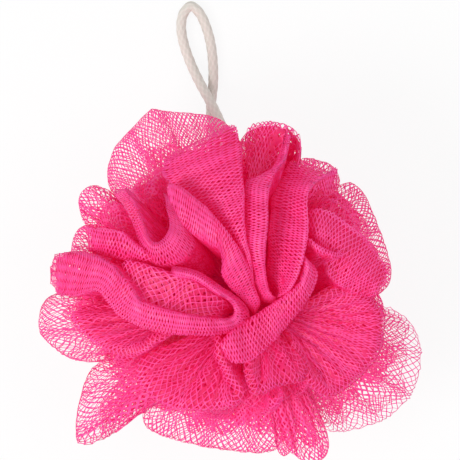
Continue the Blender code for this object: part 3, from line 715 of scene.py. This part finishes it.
def math_node(nodes, links, operation, *values):
    """The result of a sum on numbers and other nodes' results."""
    node = nodes.new("ShaderNodeMath")
    node.operation = operation
    for socket, value in zip(node.inputs, values):
        if isinstance(value, (int, float)):
            socket.default_value = value
        else:
            links.new(value, socket)
    return node.outputs[0]


def mixed_colour(nodes, links, share, one, other):
    """A mix of two colours, with the share of the second."""
    node = nodes.new("ShaderNodeMix")
    node.data_type = "RGBA"
    for socket, value in zip((node.inputs[0], node.inputs[6], node.inputs[7]), (share, one, other)):
        if isinstance(value, tuple):
            socket.default_value = (*value, 1)
        elif isinstance(value, (int, float)):
            socket.default_value = value
        else:
            links.new(value, socket)
    return node.outputs[2]


def net_material(name, strand, glow, uneven):
    """Dyed net: bright strands round each cell, deeper pink towards its middle as painted shade, paler on sharp folds
    as a painted highlight.

    The strands let some light through, and a weak glow stands for the light that many layers scatter.
    """
    material, nodes, links, shader = new_material(name)
    knit_map = nodes.new("ShaderNodeUVMap")
    knit_map.uv_map = "knit"
    split = nodes.new("ShaderNodeSeparateXYZ")
    links.new(knit_map.outputs["UV"], split.inputs[0])
    lines = [math_node(nodes, links, "PINGPONG", math_node(nodes, links, sign, split.outputs[0], split.outputs[1]), 0.5)
             for sign in ("ADD", "SUBTRACT")]
    hole = math_node(nodes, links, "MINIMUM", *lines)
    hole = math_node(nodes, links, "MULTIPLY", hole, STRAND_SHARPNESS)
    hole = math_node(nodes, links, "MINIMUM", hole, 1.0)
    dye = use_group(nodes, uneven, *NET_SCALES)
    # Deeper pink towards each cell's middle: painted shade
    colour = mixed_colour(nodes, links, hole, strand, HOLE_SHADE_PINK)
    patch = math_node(nodes, links, "MULTIPLY", math_node(nodes, links, "SUBTRACT", 1.0, hole), dye.outputs["Slow"])
    patch = math_node(nodes, links, "MULTIPLY", patch, PATCH_SHARE)
    colour = mixed_colour(nodes, links, patch, colour, PALE_PATCH_AND_HIGHLIGHT_PINK if strand == PINK else PINK)
    # Paler where the net is folded sharp: a painted highlight
    sharp = nodes.new("ShaderNodeAttribute")
    sharp.attribute_name = "sharp"
    crease = math_node(nodes, links, "MULTIPLY", sharp.outputs["Fac"], FOLD_HIGHLIGHT_SHARE)
    colour = mixed_colour(nodes, links, crease, colour, PALE_PATCH_AND_HIGHLIGHT_PINK)
    links.new(colour, shader.inputs["Base Color"])
    roughness = math_node(nodes, links, "MULTIPLY_ADD", dye.outputs["Fine"], *NET_ROUGHNESS)
    links.new(roughness, shader.inputs["Roughness"])
    shader.inputs["Emission Color"].default_value = (*GLOW_PINK, 1)
    shader.inputs["Emission Strength"].default_value = glow
    bump = nodes.new("ShaderNodeBump")
    bump.inputs["Strength"].default_value = 0.62
    bump.inputs["Distance"].default_value = 0.0004
    bump.invert = True
    links.new(math_node(nodes, links, "MULTIPLY_ADD", dye.outputs["Fine"], 0.25, hole), bump.inputs["Height"])
    links.new(bump.outputs["Normal"], shader.inputs["Normal"])
    through = nodes.new("ShaderNodeBsdfTranslucent")
    through.inputs["Color"].default_value = (*strand, 1)
    mix = nodes.new("ShaderNodeMixShader")
    mix.inputs["Fac"].default_value = THROUGH_SHARE
    links.new(shader.outputs[0], mix.inputs[1])
    links.new(through.outputs[0], mix.inputs[2])
    links.new(mix.outputs[0], nodes["Material Output"].inputs["Surface"])
    return material


def cord_material(uneven):
    """Cream braid: darker with painted shade where its strands go under, with fine fibres."""
    material, nodes, links, shader = new_material("braided_cord")
    groove_shade = nodes.new("ShaderNodeAttribute")
    groove_shade.attribute_name = "groove_shade"
    dye = use_group(nodes, uneven, *CORD_SCALES)
    # Random patches of the dye and painted shade in the grooves darken it together
    depth = math_node(nodes, links, "MULTIPLY_ADD", dye.outputs["Slow"], 0.25, groove_shade.outputs["Fac"])
    links.new(mixed_colour(nodes, links, depth, CREAM, CREAM_GROOVE_SHADE), shader.inputs["Base Color"])
    roughness = math_node(nodes, links, "MULTIPLY_ADD", dye.outputs["Slow"], *CORD_ROUGHNESS)
    links.new(roughness, shader.inputs["Roughness"])
    bump = nodes.new("ShaderNodeBump")
    bump.inputs["Strength"].default_value = 0.5
    bump.inputs["Distance"].default_value = 0.0002
    links.new(dye.outputs["Fine"], bump.inputs["Height"])
    links.new(bump.outputs["Normal"], shader.inputs["Normal"])
    shader.inputs["Sheen Weight"].default_value = 0.2
    shader.inputs["Sheen Roughness"].default_value = 0.5
    return material


def add_net(material, shaded):
    """All of the netting's pieces: material for what faces out, shaded for the layers inside.

    A number times k starts each fold's gathers at a place of its own.
    """
    up = np.array([[0.0, 0.0, 1.0]])
    nets, linings = [], []
    for k, (name, crown, drop, bulge, dives, cell, crest, outer) in enumerate(RUFFLES):
        crest, outer = top_line(crest, crown), top_line(outer, crown, drop)
        ruffle = lay_ruffle(crest, outer, np.repeat(up, len(crest), axis=0), bulge, dives, ROOT_SHARE)
        nets.append(knit_ruffle(ruffle, cell, 1.9 * k, edges=ruffle["edges"] if name != "long_dish" else None))
        linings.append(knit_ruffle(ruffle, LINING_CELL, 1.9 * k + 1, LINING_SHARE, most=RUFFLE_LINING_OPEN))
    piece_of("net_ruffles_left", nets[:6], material)
    piece_of("net_ruffles_right", nets[6:], material)
    piece_of("net_ruffle_linings", linings, shaded)
    nets, linings = [], []
    for k, (_, crown, width, belly, cell, points) in enumerate(UPPER_FOLDS):
        line = top_line(points, crown, count=LOBE_POINTS)
        fold = lay_fold(line, 1, width, belly, LOBE_ROOT)
        nets.append(knit_fold(fold, cell, 1.7 * k, edges=line[::3], rim_strand=True))
        linings.append(knit_fold(fold, LINING_CELL, 1.7 * k + 1, LINING_SHARE, most=LOBE_LINING_OPEN))
    piece_of("net_lobes", nets, material)
    piece_of("net_lobe_linings", linings, shaded)
    nets, linings = [], []
    for k, (name, width, belly, reach, cell, points) in enumerate(EDGE_FOLDS):
        line = crumpled(smooth_line(points, EDGE_POINTS))
        fold = lay_fold(line, 1, width, belly, EDGE_ROOT)
        if name == "edge_lower_right":
            nets.append(knit_layer(fold, cell, 2.3 * k, most=EDGE_LAYER_OPEN))
            nets.append(knit_layer(fold, cell, 2.3 * k + 1, 0.93, most=EDGE_LAYER_OPEN, sway=0.03))
        else:
            nets.append(knit_fold(fold, cell, 2.3 * k, most=EDGE_FOLD_OPEN, rim_strand=True))
        linings.append(knit_fold(fold, EDGE_LINING_CELL, 2.3 * k + 1, reach, most=EDGE_LINING_OPEN,
                                 sway=EDGE_LINING_SWAY))
    piece_of("net_edge", nets, material)
    piece_of("net_edge_linings", linings, material)
    for name, side, count, radius, height, half_width, slant, sway, width in FOLD_RINGS:
        first = CORD_BEARING + CORD_WAY + half_width
        step = (360.0 - 2 * (CORD_WAY + half_width)) / (count - 1)
        nets = []
        for k in range(count):
            line = ring_line(first + step * k, k, radius, height, half_width, slant, sway, RING_POINTS)
            nets.append(knit_fold(lay_fold(line, side, width, sway, EDGE_ROOT), RING_CELL, 1.1 * k + radius))
        piece_of(f"net_{name}", nets, material)
    nets, chance = [], np.random.default_rng(7)
    for k in range(SIDE_COUNT):
        bearing = CORD_BEARING + CORD_WAY + 4 + (360.0 - 2 * CORD_WAY - 8) * k / (SIDE_COUNT - 1)
        crest, outer, facing = side_lines(bearing, chance)
        ruffle = lay_ruffle(crest, outer, facing, 1.5, (0.3, 0.3), SIDE_ROOT)
        nets.append(knit_ruffle(ruffle, SIDE_CELL, 2.9 * k, edges=ruffle["edges"]))
    piece_of("net_sides", nets, material)
    open_core = knit_core(CORE_SHARES[0], CORE_CELLS[0], 0.4)
    closed_core = knit_core(CORE_SHARES[1], CORE_CELLS[1], 0.4, most=(0, 0))
    piece_of("net_inside", [open_core, closed_core], shaded)


def braided_tube(name, line, radius):
    """A braided cord along a line of points: strands cross over and under each other all round it."""
    line = (line + SHIFT) * MM
    count, radius = len(line), radius * MM
    ahead = np.gradient(line, axis=0)
    ahead /= np.linalg.norm(ahead, axis=1)[:, None]
    aside = np.empty_like(ahead)
    aside[0] = np.cross(ahead[0], (0.3, 0.2, 0.93))
    for i in range(1, count):
        aside[i] = aside[i - 1] - ahead[i] * (aside[i - 1] @ ahead[i])
        aside[i] /= np.linalg.norm(aside[i])
    aside[0] /= np.linalg.norm(aside[0])
    other = np.cross(ahead, aside)
    reached = way_along(line)
    tube = bmesh.new()
    groove_shade = tube.verts.layers.float.new("groove_shade")
    bmesh.ops.create_grid(tube, x_segments=count - 1, y_segments=BRAID_SIDES, size=1.0)
    for vertex in tube.verts:
        i = round((vertex.co.x + 1) / 2 * (count - 1))
        turn = (vertex.co.y + 1) * math.pi
        along_turn = reached[i] / (BRAID_PITCH * MM) * 2 * math.pi
        one, two = (BRAID_STRANDS / 2) * turn + along_turn, (BRAID_STRANDS / 2) * turn - along_turn
        over = 0.5 + 0.5 * math.sin(one / 2 + two / 2) * math.sin(one / 2 - two / 2)
        lump = max(abs(math.cos(one / 2)) * (0.7 + 0.3 * over), abs(math.cos(two / 2)) * (1.0 - 0.3 * over))
        away = radius - BRAID_DEPTH * MM * (1 - lump)
        # How deep in a groove a point lies, which the material paints as shade
        vertex[groove_shade] = min(1.0, 2.2 * (1 - lump))
        vertex.co = line[i] + (aside[i] * math.cos(turn) + other[i] * math.sin(turn)) * away
    bmesh.ops.remove_doubles(tube, verts=tube.verts, dist=0.00001)
    bmesh.ops.holes_fill(tube, edges=[e for e in tube.edges if e.is_boundary], sides=0)
    bmesh.ops.recalc_face_normals(tube, faces=tube.faces)
    mesh = bpy.data.meshes.new(name)
    tube.to_mesh(mesh)
    tube.free()
    mesh.shade_smooth()
    piece = bpy.data.objects.new(name, mesh)
    bpy.context.scene.collection.objects.link(piece)
    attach(piece, "root")
    return piece


def add_cord(material):
    """The cord's three pieces: the hanging loop, the turns round the waist and the knot."""
    line = smooth_line(CORD_ROUTE, CORD_POINTS)
    loop = braided_tube("braided_loop", line, CORD_DIAMETER / 2)
    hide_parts("hanging_cord")
    turn = np.linspace(0, 2 * math.pi * WRAP_TURNS, WRAP_POINTS)
    rise = np.clip(turn / (2 * math.pi * WRAP_TURNS), 0, 1) - 0.5
    ring = np.stack([
        WAIST[0] + WRAP_RADIUS * np.cos(turn), WAIST[1] + WRAP_RADIUS * np.sin(turn), WAIST[2] + rise * WRAP_RISE],
        axis=1)
    wrap = braided_tube("waist_turns", ring, CORD_DIAMETER / 2)
    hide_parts("waist_wrap")
    turn = np.linspace(0, 2 * math.pi, KNOT_POINTS)
    low, high = (np.array(corner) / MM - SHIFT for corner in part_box("cord_knot"))
    size = (high - low - CORD_DIAMETER) / 2
    knot_line = (low + high) / 2 + np.stack([
        (np.sin(turn) + 2 * np.sin(2 * turn)) / 2.7 * size[0], (np.cos(turn) - 2 * np.cos(2 * turn)) / 2.9 * size[1],
        -np.sin(3 * turn) * size[2]], axis=1)
    knot = braided_tube("braided_knot", knot_line, CORD_DIAMETER / 2 * KNOT_SHARE)
    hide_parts("cord_knot")
    for piece in (loop, wrap, knot):
        piece.data.materials.append(material)


def add_floor():
    """A white floor: nearly plain white to the camera, so that only a soft shadow shows on it."""
    mesh = bpy.data.meshes.new("floor")
    ground = bmesh.new()
    bmesh.ops.create_grid(ground, x_segments=1, y_segments=1, size=3.0)
    ground.to_mesh(mesh)
    ground.free()
    floor = bpy.data.objects.new("floor", mesh)
    bpy.context.scene.collection.objects.link(floor)
    material, nodes, links, shader = new_material("white_floor")
    shader.inputs["Base Color"].default_value = (0.9, 0.9, 0.9, 1)
    shader.inputs["Roughness"].default_value = 0.9
    glow = nodes.new("ShaderNodeEmission")
    glow.inputs["Color"].default_value = (1, 1, 1, 1)
    path = nodes.new("ShaderNodeLightPath")
    share = nodes.new("ShaderNodeMath")
    share.operation = "MULTIPLY"
    share.inputs[1].default_value = FLOOR_WHITE
    mix = nodes.new("ShaderNodeMixShader")
    links.new(path.outputs["Is Camera Ray"], share.inputs[0])
    links.new(share.outputs[0], mix.inputs["Fac"])
    links.new(shader.outputs[0], mix.inputs[1])
    links.new(glow.outputs[0], mix.inputs[2])
    links.new(mix.outputs[0], nodes["Material Output"].inputs["Surface"])
    mesh.materials.append(material)


def add_light():
    """Even white light from all round, and the lamps."""
    world = bpy.data.worlds.new("studio")
    bpy.context.scene.world = world
    world.use_nodes = True
    world.node_tree.nodes["Background"].inputs["Color"].default_value = (1, 1, 1, 1)
    world.node_tree.nodes["Background"].inputs["Strength"].default_value = WORLD_LIGHT
    for name, place, size, power in LAMPS:
        light = bpy.data.lights.new(name, "AREA")
        light.size = size
        light.energy = power
        lamp = bpy.data.objects.new(name, light)
        lamp.location = place
        lamp.rotation_euler = (Vector(LAMP_AIM) - Vector(place)).to_track_quat("-Z", "Y").to_euler()
        bpy.context.scene.collection.objects.link(lamp)


def add_camera():
    """A camera so far above that the picture has hardly any perspective."""
    data = bpy.data.cameras.new("camera")
    data.sensor_width = SENSOR_WIDTH
    data.lens = SENSOR_WIDTH * (CAMERA_HEIGHT - FRAMED_HEIGHT) / (IMAGE_PIXELS * PIXEL_SIZE * MM)
    data.clip_end = 20
    camera = bpy.data.objects.new("camera", data)
    camera.location = ((CAMERA_PLACE[0] + SHIFT[0]) * MM, (CAMERA_PLACE[1] + SHIFT[1]) * MM, CAMERA_HEIGHT)
    bpy.context.scene.collection.objects.link(camera)
    bpy.context.scene.camera = camera


bpy.context.scene.view_settings.view_transform = "Standard"
add_camera()
add_light()
add_floor()
dye_unevenness = uneven_group()
add_cord(cord_material(dye_unevenness))
# The layers inside take the net's material in a darker pink: painted shade
add_net(net_material("pink_net", PINK, GLOW, dye_unevenness),
        net_material("shaded_inner_pink_net", SHADED_PINK, INNER_GLOW, dye_unevenness))
